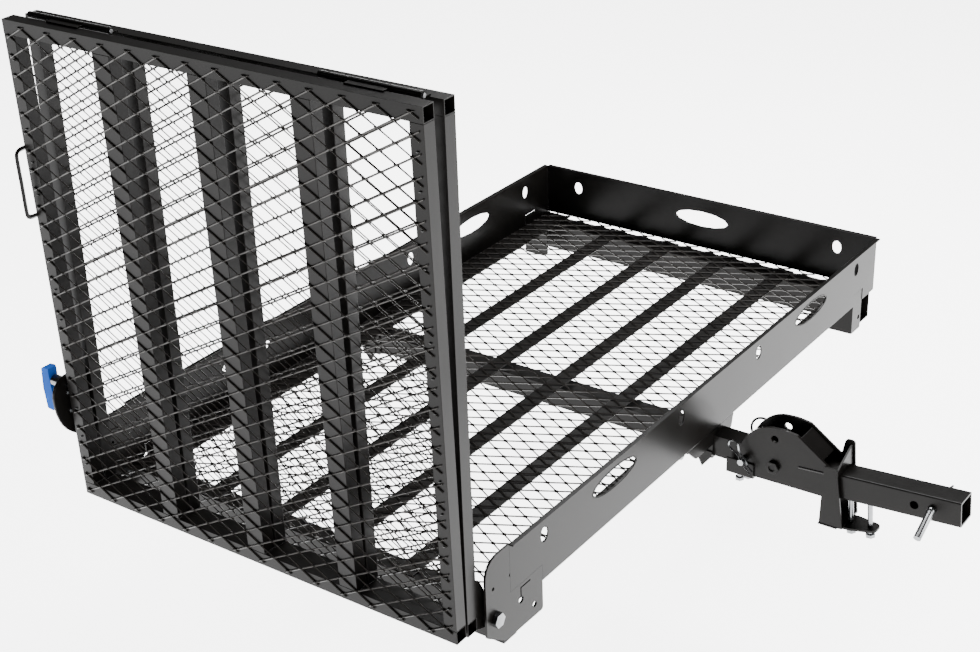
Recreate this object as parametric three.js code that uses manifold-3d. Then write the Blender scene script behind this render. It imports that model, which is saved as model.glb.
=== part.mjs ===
// Hitch cargo carrier: a mesh-floored steel tray on a tilting hitch shank, with a two-panel folding ramp.
// Millimetres. +X points to the towing vehicle, +Z up. The origin is on the shank's axis, at its pin hole.

import * as THREE from 'three';
import Module from 'manifold-3d';
import { mergeVertices } from 'three/addons/utils/BufferGeometryUtils.js';

const wasm = await Module();
wasm.setup();

// ---- driving dimensions -------------------------------------------------------------------------------

const FIT = 0.3; // gap left where two pieces touch
const RUN = 0.6; // gap round what turns or slides

// shank and its pin
const SHANK_SIZE = 50.8;
const SHANK_CORNER = 3.5;
const SHANK_WALL = 4;
const SHANK_RISE = 4; // degrees that the shank climbs towards the vehicle
const SHANK_FRONT = 54.5; // open end, ahead of the outer pin hole
const PIN_HOLE_STEP = 34.5;
const PIN_DIA = 15.9;
const PIN_HANDLE = 66;
const PIN_DROOP = 25; // degrees
const PIN_PLAY = 8;

// tilt joint
const PIVOT_X = -315.5;
const PIVOT_DIA = 15.9;
const LOCK_RADIUS = 60; // from the pivot to the lock pin
const LOCK_DIA = 12.7;
const BEAM_WALL = 3;
const BEAM_TAIL = 16; // beam past the pivot
const CHEEK = 6; // tilt plate thickness
const CHEEK_RIGHT = 114; // ahead of the pivot
const CHEEK_BELOW = 36; // below the pivot
const CLAMP_SHEET = 4;

// tray
const RAIL_FACE_X = -448.5; // vehicle-side rail's outer face
const TRAY_WIDTH = 882;
const TRAY_LENGTH = 1444;
const RAIL_HEIGHT = 125;
const RAIL_BOTTOM = 28.3;
const SHEET = 2.5;
const RAIL_LIP = 8;
const RAIL_SHELF = 66;
const MESH_THICK = 2;
const HAND_HOLE = [22, 31];
const GRIP_SLOT = [145, 38];
const WALL_SLOT = [140, 38];
const BAR_WIDTH = 38;
const BAR_THICK = 2.7;
const CROSS_TUBE_HEIGHT = 63;
const CROSS_TUBE_WALL = 3;
const REAR_TUBE_DEPTH = 51;
const FRONT_TUBE_DEPTH = 38;

// ramp
const RAMP_HEIGHT = 912;
const RAMP_TUBE = 25.4;
const RAMP_WALL = 1.6;
const RAMP_BAR = 38;
const RAMP_MESH_MARGIN = 8;
const RAMP_LEAN = 1.2; // degrees that the outer panel leans off the inner one
const RAMP_GAP = 4.1; // between the panels at the foot
const FOLD_BOLT_DIA = 14;
const KNUCKLE_DIA = 12;
const KNUCKLE_PIN = 7;
const HINGE_RISE = 5; // hinge axis above the inner panel's top
const HINGE_KNUCKLE = 72;
const HINGE_HALF = 94;

// ---- sizes that follow from them ------------------------------------------------------------------------

const BEAM_SIZE = SHANK_SIZE - 6.35;
const BEAM_HALF = BEAM_SIZE / 2;
const BEAM_Z = RAIL_BOTTOM - BEAM_HALF - 14.075; // clear under the deck and its shelf
const SHANK_HALF = SHANK_SIZE / 2;
const SHANK_BACK = -PIVOT_X - 45.5; // cut end inside the tilt plates
const CHEEK_TOP = LOCK_RADIUS + 24; // above the pivot
const CHEEK_LEFT = LOCK_RADIUS + 16; // behind the pivot
const CHEEK_SHOULDER = SHANK_HALF + 7.6; // height of the plate's front corner above the pivot

const HALF_WIDTH = TRAY_WIDTH / 2;
const HALF_LENGTH = TRAY_LENGTH / 2;
const TRAY_X = RAIL_FACE_X - HALF_WIDTH;
const RAIL_TOP = RAIL_BOTTOM + RAIL_HEIGHT + RAIL_LIP / 2 - 1;
const DECK_Z = RAIL_BOTTOM + SHEET + MESH_THICK + 0.2;
const BAR_STEP = TRAY_WIDTH / 5.8; // between the deck's lengthways bars
const HAND_HOLE_Z = RAIL_BOTTOM + 0.722 * RAIL_HEIGHT;
const GRIP_SLOT_Z = RAIL_BOTTOM + 0.682 * RAIL_HEIGHT;
const WALL_SLOT_Z = RAIL_BOTTOM + 0.626 * RAIL_HEIGHT;
const HAND_HOLE_PLACES = [0.216 * HALF_LENGTH, 0.858 * HALF_LENGTH]; // along the rail from its middle
const GRIP_SLOT_PLACE = 0.5457 * HALF_LENGTH;
const WALL_HOLE_PLACE = 0.788 * HALF_WIDTH;

const RAMP_WIDTH = TRAY_WIDTH - 25;
const HALF_RAMP = RAMP_WIDTH / 2;
const RAMP_BAR_STEP = RAMP_WIDTH / 4.18;
const RAMP_BACK = -HALF_LENGTH - 78.5; // inner panel's face on the tray's side
const FOLD_Y = -HALF_LENGTH - 43;
const FOLD_Z = RAIL_BOTTOM + 6.2;
const HINGES = [-0.36 * RAMP_WIDTH, 0.36 * RAMP_WIDTH];

const HEX_SPREAD = 1.7; // across flats of a bolt head, in bolt diameters
const NUT_SPREAD = 1.6;
const HEAD_HEIGHT = 0.62; // height of a bolt head, in bolt diameters

// ---- materials ----------------------------------------------------------------------------------------

const paint = (color, roughness) => new THREE.MeshStandardMaterial({ color, roughness, metalness: 0.2 });
const black = paint('#262526', 0.42);
const mesh_black = paint('#2d2b29', 0.5);
const zinc = new THREE.MeshStandardMaterial({ color: '#c3c7ca', roughness: 0.32, metalness: 0.9 });
const blue = new THREE.MeshStandardMaterial({ color: '#3a78c0', roughness: 0.45, metalness: 0 });
const steel = new THREE.MeshStandardMaterial({ color: '#8d8f92', roughness: 0.4, metalness: 0.9 });

// ---- outlines -----------------------------------------------------------------------------------------

const outline = (points) => new THREE.Shape(points.map(([u, v]) => new THREE.Vector2(u, v)));

function rectangle(u0, u1, v0, v1) {
  return outline([[u0, v0], [u1, v0], [u1, v1], [u0, v1]]);
}

function ellipse(u, v, width, height) {
  const shape = new THREE.Shape();
  shape.absellipse(u, v, width / 2, height / 2, 0, 2 * Math.PI);
  return shape;
}

const circle = (u, v, diameter) => ellipse(u, v, diameter, diameter);

function hexagon(u, v, flats) {
  const reach = flats / Math.sqrt(3);
  const corner = (i) => [u + reach * Math.cos((i * Math.PI) / 3), v + reach * Math.sin((i * Math.PI) / 3)];
  return outline([0, 1, 2, 3, 4, 5].map(corner));
}

// corners given as [u, v, radius]; each is turned into an arc of that radius
function rounded(corners) {
  const shape = new THREE.Shape();
  corners.forEach(([u, v, radius = 0], i) => {
    const here = new THREE.Vector2(u, v);
    const before = new THREE.Vector2(...corners.at(i - 1).slice(0, 2)).sub(here).normalize();
    const after = new THREE.Vector2(...corners[(i + 1) % corners.length].slice(0, 2)).sub(here).normalize();
    const half = Math.acos(THREE.MathUtils.clamp(before.dot(after), -1, 1)) / 2;
    const setback = radius / Math.tan(half);
    const enter = before.multiplyScalar(setback).add(here);
    const leave = after.multiplyScalar(setback).add(here);
    if (i === 0) shape.moveTo(enter.x, enter.y);
    else shape.lineTo(enter.x, enter.y);
    if (radius > 0) shape.quadraticCurveTo(u, v, leave.x, leave.y);
  });
  shape.closePath();
  return shape;
}

// ---- solids -------------------------------------------------------------------------------------------

// an outline drawn across one axis and extruded along it: Y, Z are drawn for x, X, Z for y, and X, Y for z
const ACROSS = {
  x: new THREE.Matrix4().set(0, 0, 1, 0, 1, 0, 0, 0, 0, 1, 0, 0, 0, 0, 0, 1),
  y: new THREE.Matrix4().set(1, 0, 0, 0, 0, 0, -1, 0, 0, 1, 0, 0, 0, 0, 0, 1),
  z: new THREE.Matrix4(),
};

function extrude(axis, shape, from, to, curveSegments = 6) {
  const geometry = new THREE.ExtrudeGeometry(shape, { depth: to - from, bevelEnabled: false, curveSegments });
  geometry.translate(0, 0, axis === 'y' ? -to : from);
  return geometry.applyMatrix4(ACROSS[axis]);
}

function block(x0, x1, y0, y1, z0, z1) {
  return extrude('z', rectangle(x0, x1, y0, y1), z0, z1);
}

const rod = (axis, u, v, diameter, from, to) => extrude(axis, circle(u, v, diameter), from, to);

function boxTube(axis, u0, u1, v0, v1, wall, from, to) {
  const shape = rectangle(u0, u1, v0, v1);
  shape.holes.push(rectangle(u0 + wall, u1 - wall, v0 + wall, v1 - wall));
  return extrude(axis, shape, from, to);
}

// a round wire bent along a chain of points
function wire(points, diameter, steps, tension = 0.5) {
  const stops = points.map((point) => new THREE.Vector3(...point));
  const path = new THREE.CatmullRomCurve3(stops, false, 'catmullrom', tension);
  const settings = { extrudePath: path, steps, curveSegments: 2, bevelEnabled: false };
  return new THREE.ExtrudeGeometry(circle(0, 0, diameter), settings);
}

function toSolid(geometry) {
  const bare = geometry.clone();
  bare.deleteAttribute('normal');
  bare.deleteAttribute('uv');
  const merged = mergeVertices(bare, 1e-4);
  const vertProperties = new Float32Array(merged.attributes.position.array);
  const triVerts = new Uint32Array(merged.index.array);
  return new wasm.Manifold(new wasm.Mesh({ numProp: 3, vertProperties, triVerts }));
}

function toGeometry(solid) {
  const { vertProperties, triVerts } = solid.getMesh();
  const geometry = new THREE.BufferGeometry();
  geometry.setAttribute('position', new THREE.BufferAttribute(vertProperties, 3));
  geometry.setIndex(new THREE.BufferAttribute(triVerts, 1));
  return geometry;
}

const join = (...parts) => toGeometry(parts.map(toSolid).reduce((a, b) => a.add(b)));
const cut = (body, ...tools) => toGeometry(tools.map(toSolid).reduce((a, b) => a.subtract(b), toSolid(body)));

function boltBody(axis, u, v, diameter, headFrom, headTo, tipTo) {
  const flats = diameter * HEX_SPREAD;
  const sink = 0.5; // of the rod into its head
  const [low, high] = headFrom < tipTo ? [headFrom - sink, tipTo] : [tipTo, headFrom + sink];
  const head = extrude(axis, hexagon(u, v, flats), Math.min(headFrom, headTo), Math.max(headFrom, headTo));
  return join(head, rod(axis, u, v, diameter, low, high));
}

// ---- assembly -----------------------------------------------------------------------------------------

const carrier = new THREE.Group();

function add(name, geometry, material, group = carrier) {
  const mesh = new THREE.Mesh(geometry, material);
  mesh.name = name;
  group.add(mesh);
  return mesh;
}

// 1 for the rail beside the vehicle, -1 for the one away from it
const SIDES = [['vehicle_side', 1], ['free_side', -1]];

// lays out a span measured outwards from the tray's middle on either side
function span(side, inner, outer) {
  return side > 0 ? [TRAY_X + inner, TRAY_X + outer] : [TRAY_X - outer, TRAY_X - inner];
}

// ---- tray ---------------------------------------------------------------------------------------------

const END_PLATE_SHEET = 4;
const END_PLATE_FRONT = -HALF_LENGTH - 69;
const END_PLATE_SEAM = RAIL_BOTTOM + 33.4; // height at which the plate's foot passes under the rail
const END_PLATE_FOOT = 94; // how far that foot reaches past the rail's end
const FOOT_SHEET = 4;
const FOOT_WIDTH = 45;
const FOOT_FLANGE = 66;
const FOOT_INSET = 1; // behind the rail's face
const FOOT_Y = HALF_LENGTH - 105; // rear foot's flange
const FOOT_TOP = RAIL_BOTTOM + 28.2;
const FOOT_BACK = HALF_WIDTH - FOOT_INSET - FOOT_SHEET;
const CROSS_TUBE_TOP = RAIL_BOTTOM - 0.8;
const CROSS_TUBE_BOTTOM = CROSS_TUBE_TOP - CROSS_TUBE_HEIGHT;

function rail(side) {
  const web = [HALF_WIDTH - SHEET, HALF_WIDTH];
  const corner = 3;
  const across = side > 0 ? (d) => TRAY_X + d : (d) => TRAY_X - d;
  const section = rounded([
    [across(web[1] - RAIL_SHELF), RAIL_BOTTOM],
    [across(web[1]), RAIL_BOTTOM, corner],
    [across(web[1]), RAIL_TOP - SHEET, 1],
    [across(web[1] + RAIL_LIP), RAIL_TOP - SHEET],
    [across(web[1] + RAIL_LIP), RAIL_TOP],
    [across(web[0]), RAIL_TOP, corner],
    [across(web[0]), RAIL_BOTTOM + SHEET, 1],
    [across(web[1] - RAIL_SHELF), RAIL_BOTTOM + SHEET],
  ]);
  const [x0, x1] = span(side, HALF_WIDTH - END_PLATE_SHEET - FIT, HALF_WIDTH + RAIL_LIP + 2);
  const [w0, w1] = span(side, HALF_WIDTH - 30, HALF_WIDTH + 30);
  const cuts = [];
  for (const end of [-1, 1]) {
    for (const place of HAND_HOLE_PLACES) {
      cuts.push(extrude('x', ellipse(end * place, HAND_HOLE_Z, ...HAND_HOLE), w0, w1));
    }
    cuts.push(extrude('x', ellipse(end * GRIP_SLOT_PLACE, GRIP_SLOT_Z, ...GRIP_SLOT), w0, w1));
  }
  const footEnd = -HALF_LENGTH + END_PLATE_FOOT + FIT;
  cuts.push(block(x0, x1, -HALF_LENGTH - 5, footEnd, RAIL_BOTTOM - 10, END_PLATE_SEAM + FIT));
  const tubeGap = FOOT_Y + FOOT_WIDTH;
  const [f0, f1] = span(side, FOOT_BACK - FIT, HALF_WIDTH + 10);
  cuts.push(block(f0, f1, FOOT_Y - 1.5, tubeGap, RAIL_BOTTOM - 10, FOOT_TOP + 1.5));
  return cut(extrude('y', section, -HALF_LENGTH, HALF_LENGTH), ...cuts);
}

function endWall() {
  const inset = HALF_WIDTH - SHEET - FIT;
  const across = [TRAY_X - inset, TRAY_X + inset];
  const sheet = block(...across, HALF_LENGTH - SHEET, HALF_LENGTH, DECK_Z + 0.5, RAIL_TOP);
  const lip = block(...across, HALF_LENGTH - 1, HALF_LENGTH + RAIL_LIP, RAIL_TOP - SHEET, RAIL_TOP);
  const through = [HALF_LENGTH - 20, HALF_LENGTH + 20];
  const holes = [
    extrude('y', ellipse(TRAY_X - WALL_HOLE_PLACE, GRIP_SLOT_Z, ...HAND_HOLE), ...through),
    extrude('y', ellipse(TRAY_X + WALL_HOLE_PLACE, GRIP_SLOT_Z, ...HAND_HOLE), ...through),
    extrude('y', ellipse(TRAY_X, WALL_SLOT_Z, ...WALL_SLOT), ...through),
  ];
  return cut(join(sheet, lip), ...holes);
}

// the plate that carries the ramp's pivot, with a relief slot beside its foot
function endPlate(side) {
  const rear = -HALF_LENGTH + END_PLATE_FOOT;
  const tube = -HALF_LENGTH - 16;
  const shape = rounded([
    [-HALF_LENGTH - FIT, RAIL_TOP],
    [END_PLATE_FRONT, RAIL_TOP, 40],
    [END_PLATE_FRONT, FOLD_Z - 24, 6],
    [tube - 1, CROSS_TUBE_BOTTOM + 10, 6],
    [rear, CROSS_TUBE_BOTTOM + 8, 6],
    [rear, END_PLATE_SEAM],
    [-HALF_LENGTH - FIT, END_PLATE_SEAM],
  ]);
  const [x0, x1] = span(side, HALF_WIDTH - END_PLATE_SHEET, HALF_WIDTH);
  const [c0, c1] = [x0 - 5, x1 + 5];
  const slotY = -HALF_LENGTH + 29.5;
  const slotZ = [RAIL_BOTTOM + 1.2, RAIL_BOTTOM + 26.7];
  const boltZ = RAIL_BOTTOM + 68.2;
  return cut(
    extrude('x', shape, x0, x1),
    extrude('x', circle(FOLD_Y, FOLD_Z, FOLD_BOLT_DIA + 2 * FIT), c0, c1),
    extrude('x', circle(slotY, slotZ[0], 14), c0, c1),
    extrude('x', circle(slotY + 39.5, slotZ[0] - 33, 12), c0, c1),
    extrude('x', circle(-HALF_LENGTH, boltZ, 7), c0, c1),
    extrude('x', circle(-HALF_LENGTH - 48.5, boltZ, 7), c0, c1),
    block(c0, c1, slotY - 1.5, slotY + 1.5, ...slotZ),
    block(c0, c1, slotY - 1.5, slotY + 28, slotZ[1] - 3, slotZ[1]),
  );
}

// corner angle under the rail's rear end: a face in the rail's notch and a flange going inwards
function rearFoot(side) {
  const [x0, x1] = span(side, FOOT_BACK, HALF_WIDTH - FOOT_INSET);
  const [f0, f1] = span(side, HALF_WIDTH - FOOT_FLANGE, HALF_WIDTH - FOOT_INSET);
  const inset = CROSS_TUBE_BOTTOM - 4;
  const face = rounded([
    [FOOT_Y, inset, 3], [FOOT_Y + FOOT_WIDTH - FIT, inset, 3],
    [FOOT_Y + FOOT_WIDTH - FIT, FOOT_TOP], [FOOT_Y, FOOT_TOP],
  ]);
  const flange = rounded([
    [f0, inset, side > 0 ? 12 : 3], [f1, inset, side > 0 ? 3 : 12],
    [f1, RAIL_BOTTOM - FIT], [f0, RAIL_BOTTOM - FIT],
  ]);
  const angle = join(extrude('x', face, x0, x1), extrude('y', flange, FOOT_Y, FOOT_Y + FOOT_SHEET));
  return cut(angle, extrude('x', circle(FOOT_Y + 33.5, -9.5, 11), x0 - 5, x1 + 5));
}

for (const [where, side] of SIDES) {
  add(`rail_${where}`, rail(side), black);
  add(`end_plate_${where}`, endPlate(side), black);
  add(`rear_foot_${where}`, rearFoot(side), black);
}
add('end_wall', endWall(), black);

const tubeHalf = FOOT_BACK - FIT;
const rearTube = [FOOT_Y + FOOT_WIDTH + 2, FOOT_Y + FOOT_WIDTH + 2 + REAR_TUBE_DEPTH];
const frontTube = [-HALF_LENGTH - 16, -HALF_LENGTH - 16 + FRONT_TUBE_DEPTH];
for (const [name, [y0, y1]] of [['rear_cross_tube', rearTube], ['front_cross_tube', frontTube]]) {
  const height = [CROSS_TUBE_BOTTOM, CROSS_TUBE_TOP];
  add(name, boxTube('x', y0, y1, ...height, CROSS_TUBE_WALL, TRAY_X - tubeHalf, TRAY_X + tubeHalf), black);
}

const deckUnder = DECK_Z - MESH_THICK;
const deckFront = -HALF_LENGTH - 14;
[-1.5, -0.5, 0.5, 1.5].forEach((steps, i) => {
  const x = TRAY_X + steps * BAR_STEP;
  const top = deckUnder - FIT;
  const bar = block(x - BAR_WIDTH / 2, x + BAR_WIDTH / 2, deckFront, rearTube[1], top - BAR_THICK, top);
  add(`deck_bar_${i + 1}`, bar, black);
});
const deckRear = HALF_LENGTH - SHEET - FIT;
const deck = block(TRAY_X - tubeHalf, TRAY_X + tubeHalf, deckFront, deckRear, deckUnder, DECK_Z);
add('deck_mesh', deck, mesh_black);

// ---- beam under the tray, its saddles and the tilt joint ------------------------------------------------

const beamPin = [PIVOT_X - LOCK_RADIUS, BEAM_Z];
const THROUGH_HITCH = [-SHANK_SIZE - 10, SHANK_SIZE + 10]; // long enough to cut right across the hitch

// the lock pin carries the beam in a notch that is open below, so the beam can lift off it
function beam() {
  const section = [-BEAM_HALF, BEAM_HALF, BEAM_Z - BEAM_HALF, BEAM_Z + BEAM_HALF];
  const body = boxTube('x', ...section, BEAM_WALL, TRAY_X - HALF_WIDTH, PIVOT_X + BEAM_TAIL);
  const pinGap = LOCK_DIA + 2 * RUN;
  const sweep = new THREE.Shape();
  const swing = THREE.MathUtils.degToRad(40);
  const outer = LOCK_RADIUS + pinGap / 2;
  const inner = LOCK_RADIUS - pinGap / 2;
  sweep.absarc(PIVOT_X, BEAM_Z, outer, Math.PI, Math.PI + swing, false);
  sweep.absarc(PIVOT_X, BEAM_Z, inner, Math.PI + swing, Math.PI, true);
  return cut(
    body,
    rod('y', PIVOT_X, BEAM_Z, PIVOT_DIA + 2 * RUN, ...THROUGH_HITCH),
    rod('y', ...beamPin, pinGap, ...THROUGH_HITCH),
    extrude('y', sweep, ...THROUGH_HITCH),
  );
}
add('hitch_beam', beam(), black);

const SLEEVE_WALL = 4.5;
const SLEEVE_LENGTH = 46;
const SADDLE_SHEET = 4;
const SADDLE_FRONT = -BEAM_HALF - 104.8;
const SADDLE_REAR = BEAM_HALF + 34.8;

// sleeve round the beam, hung from a plate under the rail, with a pointed gusset beneath
function saddle(side) {
  const bore = BEAM_HALF + FIT;
  const outer = bore + SLEEVE_WALL;
  const face = HALF_WIDTH - 1;
  const under = BEAM_Z - outer;
  const around = [-outer, outer, under, BEAM_Z + outer];
  const sleeve = boxTube('x', ...around, SLEEVE_WALL, ...span(side, HALF_WIDTH - SLEEVE_LENGTH, face));
  const top = RAIL_BOTTOM - FIT;
  const low = BEAM_Z + 4;
  const cheek = rounded([
    [SADDLE_FRONT, top], [SADDLE_FRONT + 34, low, 14], [SADDLE_REAR - 8, low, 14], [SADDLE_REAR, top],
  ]);
  const plate = extrude('x', cheek, ...span(side, face - SADDLE_SHEET, face));
  const shelf = block(...span(side, face - 59, face), SADDLE_FRONT, SADDLE_REAR, top - SADDLE_SHEET, top);
  const [g0, g1] = span(side, face - 34, face);
  const tip = side > 0 ? g1 - 21 : g0 + 21;
  const pointed = outline([
    [g1, BEAM_Z - 12], [g1, under + 5], [tip, under - 22], [g0, under + 4], [g0, BEAM_Z - 12],
  ]);
  const gusset = extrude('y', pointed, -outer - 3.5, -outer + 0.5);
  const windowCut = block(...span(side, face - 69, face + 6), -bore, bore, BEAM_Z - bore, BEAM_Z + bore);
  return cut(join(sleeve, plate, shelf, gusset), windowCut);
}
for (const [where, side] of SIDES) add(`saddle_${where}`, saddle(side), black);

const CHEEK_INNER = SHANK_HALF + FIT;
const CHEEK_OUTER = CHEEK_INNER + CHEEK;

function tiltCheek(y0, y1) {
  const shape = new THREE.Shape();
  const at = (dx, dz) => [PIVOT_X + dx, BEAM_Z + dz];
  shape.moveTo(...at(-CHEEK_LEFT, -CHEEK_BELOW));
  shape.lineTo(...at(CHEEK_RIGHT - 13, -CHEEK_BELOW + 3));
  shape.lineTo(...at(CHEEK_RIGHT, CHEEK_SHOULDER));
  shape.lineTo(...at(CHEEK_RIGHT - 68, CHEEK_TOP - 3));
  shape.quadraticCurveTo(...at(20, CHEEK_TOP + 2), ...at(4, CHEEK_TOP));
  shape.absellipse(...at(4, -4), CHEEK_LEFT + 4, CHEEK_TOP + 4, Math.PI / 2, Math.PI, false);
  shape.closePath();
  return cut(
    extrude('y', shape, y0, y1),
    rod('y', PIVOT_X, BEAM_Z, PIVOT_DIA + 2 * FIT, ...THROUGH_HITCH),
    rod('y', ...beamPin, LOCK_DIA + 2 * RUN, ...THROUGH_HITCH),
    rod('y', PIVOT_X, BEAM_Z + LOCK_RADIUS, LOCK_DIA + 3, ...THROUGH_HITCH),
  );
}
add('tilt_cheek_ramp_side', tiltCheek(-CHEEK_OUTER, -CHEEK_INNER), black);
add('tilt_cheek_wall_side', tiltCheek(CHEEK_INNER, CHEEK_OUTER), black);

const STIFFENER_SHEET = 5;

// sloping stiffener between the cheeks, set just behind their slanted edges
function stiffener() {
  const low = new THREE.Vector2(PIVOT_X + CHEEK_RIGHT - 16, BEAM_Z + CHEEK_SHOULDER + 7);
  const high = new THREE.Vector2(PIVOT_X + CHEEK_RIGHT - 64, BEAM_Z + CHEEK_TOP - 9);
  const along = high.clone().sub(low).normalize();
  const thick = new THREE.Vector2(-along.y, along.x).multiplyScalar(STIFFENER_SHEET);
  const shape = new THREE.Shape([low, high, high.clone().add(thick), low.clone().add(thick)]);
  return extrude('y', shape, -CHEEK_INNER + FIT, CHEEK_INNER - FIT);
}
add('cheek_stiffener', stiffener(), black);

const nutHeight = PIVOT_DIA * 0.5;
function pivotBolt() {
  const reach = CHEEK_OUTER + FIT;
  const body = boltBody('y', PIVOT_X, BEAM_Z, PIVOT_DIA, reach, reach + nutHeight, -reach - nutHeight + 3);
  const nut = extrude('y', hexagon(PIVOT_X, BEAM_Z, PIVOT_DIA * 1.5), -reach - nutHeight, -reach);
  const recess = rod('y', PIVOT_X, BEAM_Z, PIVOT_DIA - 2, -reach - nutHeight - 1, -reach - nutHeight + 3);
  return cut(join(body, nut), recess);
}
add('pivot_bolt', pivotBolt(), black);

// ---- clamp under the beam's end -------------------------------------------------------------------------

const U_X = [beamPin[0] - 38.5, beamPin[0] + 19.5];
const U_TOP = BEAM_Z - LOCK_DIA / 2 - 2.15; // clear under the lock pin's collar
const U_FLOOR = BEAM_Z - CHEEK_BELOW - FIT;
const U_OUTER = CHEEK_OUTER + FIT + CLAMP_SHEET;
const JACK_DIA = 9.5;
const JACK_REACH = [18, 19]; // from the clamp's floor down to each head
const JACK_NUT = 6;
const JACK_PLACES = [[U_X[0] + 18, -12], [U_X[0] + 28, 4.4]];

function uClamp() {
  const inner = U_OUTER - CLAMP_SHEET;
  const floor = U_FLOOR - CLAMP_SHEET;
  const shape = rounded([
    [-U_OUTER, U_TOP], [-U_OUTER, floor, 3], [U_OUTER, floor, 3], [U_OUTER, U_TOP],
    [inner, U_TOP], [inner, U_FLOOR], [-inner, U_FLOOR], [-inner, U_TOP],
  ]);
  const holes = JACK_PLACES.map(([x, y]) => rod('z', x, y, JACK_DIA + 2 * FIT, floor - 5, U_FLOOR + 5));
  return cut(extrude('x', shape, ...U_X), ...holes);
}
add('u_clamp', uClamp(), black);
JACK_PLACES.forEach(([x, y], i) => {
  const top = BEAM_Z - BEAM_HALF - FIT;
  const head = U_FLOOR - CLAMP_SHEET - JACK_REACH[i];
  const washer = U_FLOOR - CLAMP_SHEET - FIT;
  const bolt = boltBody('z', x, y, JACK_DIA, head, head - JACK_DIA * HEAD_HEIGHT, top);
  const nut = extrude('z', hexagon(x, y, JACK_DIA * NUT_SPREAD), washer - JACK_NUT, washer);
  add(`jack_bolt_${i + 1}`, join(bolt, nut), zinc);
});

// ---- shank, its pin, and the anti-rattle clamp -----------------------------------------------------------

const shankGroup = new THREE.Group();
shankGroup.rotation.y = -THREE.MathUtils.degToRad(SHANK_RISE);
carrier.add(shankGroup);

function shank() {
  const squared = (half, corner) => rounded([
    [-half, -half, corner], [half, -half, corner], [half, half, corner], [-half, half, corner],
  ]);
  const section = squared(SHANK_HALF, SHANK_CORNER);
  section.holes.push(squared(SHANK_HALF - SHANK_WALL, SHANK_CORNER / 2));
  const bar = extrude('x', section, -SHANK_BACK, SHANK_FRONT, 4);
  const bore = PIN_DIA + 2 * RUN;
  return cut(bar, ...[0, -PIN_HOLE_STEP].map((x) => rod('y', x, 0, bore, ...THROUGH_HITCH)));
}
add('shank', shank(), black, shankGroup);

const CLIP_WIRE = 4;
const PIN_FAR = SHANK_HALF + PIN_PLAY + 14;
const PIN_CLIP_TURN = THREE.MathUtils.degToRad(-120); // the clip hangs back and down behind the shank

// bent pin: straight through the shank, then a handle drooping on the ramp's side
function hitchPin() {
  const bend = -SHANK_HALF - 6;
  const droop = THREE.MathUtils.degToRad(PIN_DROOP);
  const straight = rod('y', 0, 0, PIN_DIA, bend, PIN_FAR);
  const handle = rod('y', 0, 0, PIN_DIA - 1, -PIN_HANDLE, 0);
  handle.rotateX(droop).translate(0, bend + 2, 0);
  const elbow = new THREE.SphereGeometry(PIN_DIA / 2, 16, 10).translate(0, bend + 0.5, 0);
  const clipHole = rod('z', 0, PIN_FAR - 6, CLIP_WIRE + 2 * FIT, -20, 20).rotateY(PIN_CLIP_TURN);
  return cut(join(straight, elbow, handle), clipHole);
}
add('hitch_pin', hitchPin(), zinc);

// spring clip: a straight leg through the pin, a round bow, and a waved leg over the pin's outside
function springClip(pinRadius, wireDia, length) {
  const over = pinRadius + wireDia * 0.62 + FIT;
  const bow = 0.135 * length; // radius of the round end
  const middle = over / 2;
  const round = [200, 150, 90, 30, -20].map((degrees) => {
    const turn = THREE.MathUtils.degToRad(degrees);
    return [middle + bow * Math.cos(turn), 0, 0.5 * length + bow * Math.sin(turn)];
  });
  return wire([
    [0, 0, -0.42 * length],
    [0, 0, 0],
    [0, 0, 0.24 * length],
    ...round,
    [over * 0.9, 0, 0.26 * length],
    [over, 0, 0],
    [over * 0.72, 0, -0.18 * length],
    [over, 0, -0.36 * length],
  ], wireDia, 56);
}
const hitchClip = springClip(PIN_DIA / 2, CLIP_WIRE, 56);
hitchClip.rotateY(PIN_CLIP_TURN).translate(0, PIN_FAR - 6, 0);
add('hitch_pin_clip', hitchClip, zinc);

// the anti-rattle clamp: a flared yoke astride the shank, with a nosed plate and two bolts that press upwards
const YOKE_INNER = CHEEK_OUTER + FIT;
const YOKE_OUTER = YOKE_INNER + CLAMP_SHEET;
const YOKE_BOTTOM = -SHANK_HALF - 59.6;
const CHEEK_END = PIVOT_X + CHEEK_RIGHT;
const YOKE_FOOT = [CHEEK_END - 19.5, CHEEK_END + 28.5];
const YOKE_NECK = [CHEEK_END - 6.5, CHEEK_END + 19.5];
const YOKE_TOP = SHANK_HALF + 16.6;
const TAB_TOP = SHANK_HALF + 45.6;
const NOSE_THICK = 4.5;
const CLAMP_BOLT_DIA = 10;
const CLAMP_BOLT_X = [CHEEK_END + 31.5, CHEEK_END + 70.5];

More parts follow.
